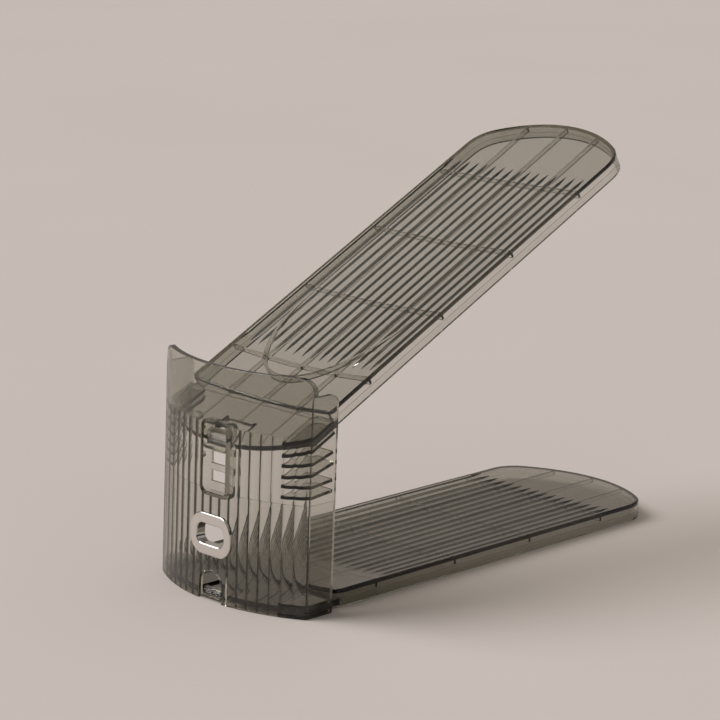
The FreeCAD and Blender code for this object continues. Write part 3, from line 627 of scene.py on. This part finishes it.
@dataclass
class SlideTray:
    """Fluted tray with a springy press catch in its front tongue."""

    tray: str
    catch: str
    flow_stretch: float = 0.4
    density: float = 182.0
    edge_round: float = 0.00012
    catch_scuffs: float = 0.6

    def dress(self, nodes: Nodes, effects: SurfaceEffects) -> None:
        """Dress the tray and its catch.

        Args:
            nodes: The solids by name.
            effects: The shared effects.
        """
        plate = SmokePlastic(
            f"smoke_{self.tray}",
            absorbed_density=self.density,
            wave_stretch=self.flow_stretch,
            edge_round=self.edge_round,
        )
        spring = SmokePlastic(
            f"smoke_{self.catch}",
            absorbed_density=self.density,
            scuff_amount=self.catch_scuffs,
            edge_round=self.edge_round,
        )
        dress_node(nodes, self.tray, plate.build(effects))
        dress_node(nodes, self.catch, spring.build(effects))


@dataclass
class FrontColumn:
    """Leaning column with reeds, ledges, latch pocket and a plated finger ring."""

    column: str = "column"
    ring: str = "finger_ring"
    rim_level: float = 0.0975
    rim_round: float = 0.0005
    flow_scale: float = 32.0

    def dress(self, nodes: Nodes, effects: SurfaceEffects) -> None:
        """Dress the column and the ring.

        Args:
            nodes: The solids by name.
            effects: The shared effects.
        """
        wall = SmokePlastic(
            f"smoke_{self.column}",
            wave_scale=self.flow_scale,
            edge_round=self.rim_round,
            round_from=self.rim_level,
        )
        dress_node(nodes, self.column, wall.build(effects))
        dress_node(nodes, self.ring, PlatedMetal("bright_plating").build(effects))


@dataclass(frozen=True)
class FarLight:
    """A wide soft light far away, as even over the floor as a large diffuser."""

    name: str
    comes_from: Point
    spread: float
    strength: float
    colour: Colour = (1.0, 0.995, 0.99)

    def build(self) -> None:
        """Hang the light."""
        data = bpy.data.lights.new(self.name, "SUN")
        data.energy = self.strength
        data.angle = math.radians(self.spread)
        data.color = self.colour
        lamp = bpy.data.objects.new(self.name, data)
        lamp.rotation_euler = (-Vector(self.comes_from)).to_track_quat("-Z", "Y").to_euler()
        bpy.context.scene.collection.objects.link(lamp)
        LOG.info("%s hung", self.name)


@dataclass(frozen=True)
class PaleSide:
    """A pale wall in one direction, fading out round it.

    The fade runs between two cosines of the angle to the wall's middle.
    """

    direction: Point
    colour: Colour
    fade: Range

    def mask(self, sheet: NodeSheet, looked_at: Socket) -> Socket:
        """Mask of the wall.

        Args:
            sheet: The world's sheet.
            looked_at: Socket of the direction that is looked at.

        Returns:
            The mask's socket, 1 in the middle of the wall.
        """
        facing = sheet.add(
            "ShaderNodeVectorMath", {0: looked_at, 1: self.direction}, operation="DOT_PRODUCT"
        )
        return sheet.remap(facing.outputs["Value"], self.fade, easing=Easing.SMOOTH)


@dataclass(frozen=True)
class Surroundings:
    """A dim room with a pale wall on one side and a backdrop behind the object."""

    name: str = "studio_surround"
    dim: Colour = (0.035, 0.033, 0.032)
    sides: tuple[PaleSide, ...] = (
        PaleSide((-0.69, 0.70, 0.17), (0.41, 0.385, 0.36), (0.76, 0.97)),
        PaleSide((0.69, 0.72, 0.06), (0.37, 0.33, 0.30), (0.8, 0.95)),
    )

    def build(self) -> None:
        """Light the surroundings by the direction in which they lie."""
        world = bpy.data.worlds.new(self.name)
        world.use_nodes = True
        world.node_tree.nodes.clear()
        sheet = NodeSheet(world.node_tree)
        looked_at = sheet.add("ShaderNodeTexCoord").outputs["Generated"]
        colour: object = opaque(self.dim)
        for side in self.sides:
            colour = sheet.mix(Blend.COLOUR, side.mask(sheet, looked_at), colour, opaque(side.colour))
        background = sheet.add("ShaderNodeBackground", {"Color": colour, "Strength": 1.0})
        sheet.add("ShaderNodeOutputWorld", {"Surface": background.outputs[0]})
        bpy.context.scene.world = world
        LOG.info("surroundings lit")


@dataclass
class Studio:
    """Pale floor, soft lights, dim surroundings and the camera."""

    floor_radius: float = 9.0
    floor_drop: float = 0.0002
    floor_segments: int = 96
    camera_place: Point = (-0.8727, -0.8934, 0.3856)
    camera_tilt: float = 76.7
    camera_turn: float = -43.13
    lens: float = 135.45
    sensor_width: float = 36.0
    bounces: int = 24
    glossy_bounces: int = 8
    paper: StudioPaper = StudioPaper("studio_paper")
    surroundings: Surroundings = Surroundings()
    lights: tuple[FarLight, ...] = (
        FarLight("key_light", (-0.6, 0.75, 0.95), 40.0, 2.72),
        FarLight("top_light", (0.2, -0.3, 1.0), 100.0, 0.7),
    )

    def build(self, effects: SurfaceEffects) -> None:
        """Set up everything round the object.

        Args:
            effects: The shared effects.
        """
        self.lay_floor(effects)
        for light in self.lights:
            light.build()
        self.surroundings.build()
        self.set_camera()
        self.set_light_paths()

    def set_light_paths(self) -> None:
        """Follow light through all the layers of plastic, with plain colours."""
        scene = bpy.context.scene
        scene.view_settings.view_transform = "Standard"
        scene.cycles.max_bounces = self.bounces
        scene.cycles.transmission_bounces = self.bounces
        scene.cycles.transparent_max_bounces = self.bounces
        scene.cycles.glossy_bounces = self.glossy_bounces
        scene.cycles.caustics_reflective = False
        scene.cycles.caustics_refractive = False

    def lay_floor(self, effects: SurfaceEffects) -> None:
        """Make the round floor.

        Args:
            effects: The shared effects.
        """
        mesh = bpy.data.meshes.new("studio_floor")
        shell = bmesh.new()
        bmesh.ops.create_circle(
            shell, cap_ends=True, segments=self.floor_segments, radius=self.floor_radius
        )
        shell.to_mesh(mesh)
        shell.free()
        floor = bpy.data.objects.new("studio_floor", mesh)
        floor.location.z = -self.floor_drop
        mesh.materials.append(self.paper.build(effects))
        bpy.context.scene.collection.objects.link(floor)
        LOG.info("floor laid")

    def set_camera(self) -> None:
        """Stand the camera where the photograph was taken from."""
        data = bpy.data.cameras.new("studio_camera")
        data.lens = self.lens
        data.sensor_width = self.sensor_width
        camera = bpy.data.objects.new("studio_camera", data)
        camera.location = self.camera_place
        camera.rotation_euler = (math.radians(self.camera_tilt), 0.0, math.radians(self.camera_turn))
        bpy.context.scene.collection.objects.link(camera)
        bpy.context.scene.camera = camera
        LOG.info("camera set")


def main() -> None:
    """Load the solids, dress every piece and set up the studio."""
    logging.basicConfig(level=logging.INFO, format="%(name)s: %(message)s")
    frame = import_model()
    effects = SurfaceEffects()
    nodes = frame["nodes"]
    SlideTray("base_tray", "base_catch").dress(nodes, effects)
    FrontColumn().dress(nodes, effects)
    SlideTray("upper_tray", "tray_catch").dress(nodes, effects)
    Studio().build(effects)


if __name__ == "__main__":
    main()
